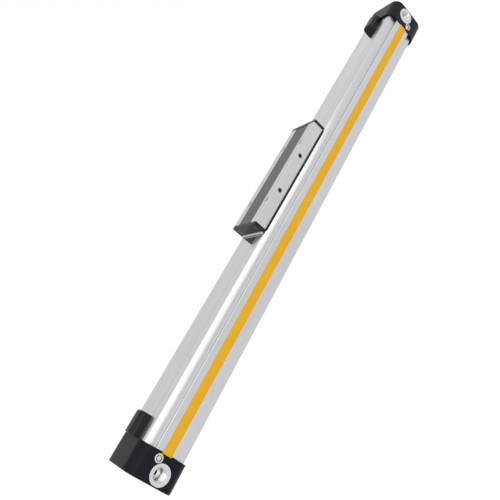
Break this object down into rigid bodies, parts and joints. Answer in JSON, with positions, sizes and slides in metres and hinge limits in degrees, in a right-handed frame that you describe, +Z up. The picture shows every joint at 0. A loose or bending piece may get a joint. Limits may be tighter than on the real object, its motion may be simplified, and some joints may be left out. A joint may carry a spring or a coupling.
{
  "type": "rodless pneumatic cylinder",
  "caption": "Band-sealed rodless air cylinder: slotted barrel with dovetail rails, end caps with side ports and cushion needles, carriage tied through the slot to a double piston",
  "frame": {"origin": "midway along the barrel, in the barrel's middle plane, level with the underside of the end caps", "axes": "+X along the barrel from the near cap (low port) to the far cap (high port), +Z up through the carriage, and the ports, needles and one stripe face -Y"},
  "size_m": [0.5, 0.0422, 0.0502],
  "materials": {
    "barrel_aluminium": "clear anodised, satin, fine drawing lines along the barrel",
    "carriage_aluminium": "clear anodised, satin",
    "piston_aluminium": "turned",
    "cap_black": "black semi-gloss coating",
    "black_plastic": "black moulded plastic",
    "cover_grey": "dark grey satin coating",
    "stripe_yellow": "yellow-orange extruded plastic",
    "band_steel": "polished stainless strip",
    "bright_steel": "bright machined",
    "dark_screw": "blackened steel",
    "seal_rubber": "black rubber",
    "wiper_grey": "light grey wiper plastic",
    "magnet_strip": "bonded magnet, dark grey",
    "wear_plastic": "filled low-friction plastic"
  },
  "bodies": {
    "root": {"barrel": "barrel_aluminium", "end_cap_near": "cap_black", "end_cap_far": "cap_black", "cap_screws_near": "bright_steel", "cap_screws_far": "bright_steel", "port_bush_near": "bright_steel", "port_bush_far": "bright_steel", "cushion_seal_near": "seal_rubber", "cushion_seal_far": "seal_rubber", "spigot_ring_near": "seal_rubber", "spigot_ring_far": "seal_rubber", "band_clamp_near": "black_plastic", "band_clamp_far": "black_plastic", "clamp_nut_near": "piston_aluminium", "clamp_nut_far": "piston_aluminium", "clamp_screws_near": "dark_screw", "clamp_screws_far": "dark_screw", "outer_band": "band_steel", "inner_band": "band_steel", "band_magnets": "magnet_strip", "stripe_front": "stripe_yellow", "stripe_back": "stripe_yellow"},
    "carriage": {"piston_near": "piston_aluminium", "piston_far": "piston_aluminium", "piston_seal_near": "seal_rubber", "piston_seal_far": "seal_rubber", "wear_ring_near": "wear_plastic", "wear_ring_far": "wear_plastic", "ring_magnet_near": "magnet_strip", "ring_magnet_far": "magnet_strip", "end_plate_near": "black_plastic", "end_plate_far": "black_plastic", "wiper_near": "wiper_grey", "wiper_far": "wiper_grey", "piston_screws": "dark_screw", "yoke": "piston_aluminium", "yoke_screws": "dark_screw", "carriage_body": "carriage_aluminium", "carriage_cover": "cover_grey", "end_plate_screws": "dark_screw", "slide_shoe_front": "black_plastic", "slide_shoe_back": "black_plastic", "band_guide": "black_plastic", "side_screws": "dark_screw"},
    "needle_near": {"cushion_needle_near": "bright_steel"},
    "needle_far": {"cushion_needle_far": "bright_steel"}
  },
  "joints": [
    {"name": "carriage_slide", "type": "slide", "parent": "root", "child": "carriage", "axis": [1, 0, 0], "range_m": [-0.1597, 0.1403], "deforming": ["outer_band", "inner_band"]},
    {"name": "needle_near_turn", "type": "hinge", "parent": "root", "child": "needle_near", "pos_m": [-0.2325, -0.0205, 0.02495], "axis": [0, -1, 0], "range_deg": [0, 810]},
    {"name": "needle_far_turn", "type": "hinge", "parent": "root", "child": "needle_far", "pos_m": [0.2325, -0.0205, 0.01605], "axis": [0, -1, 0], "range_deg": [0, 810]}
  ]
}
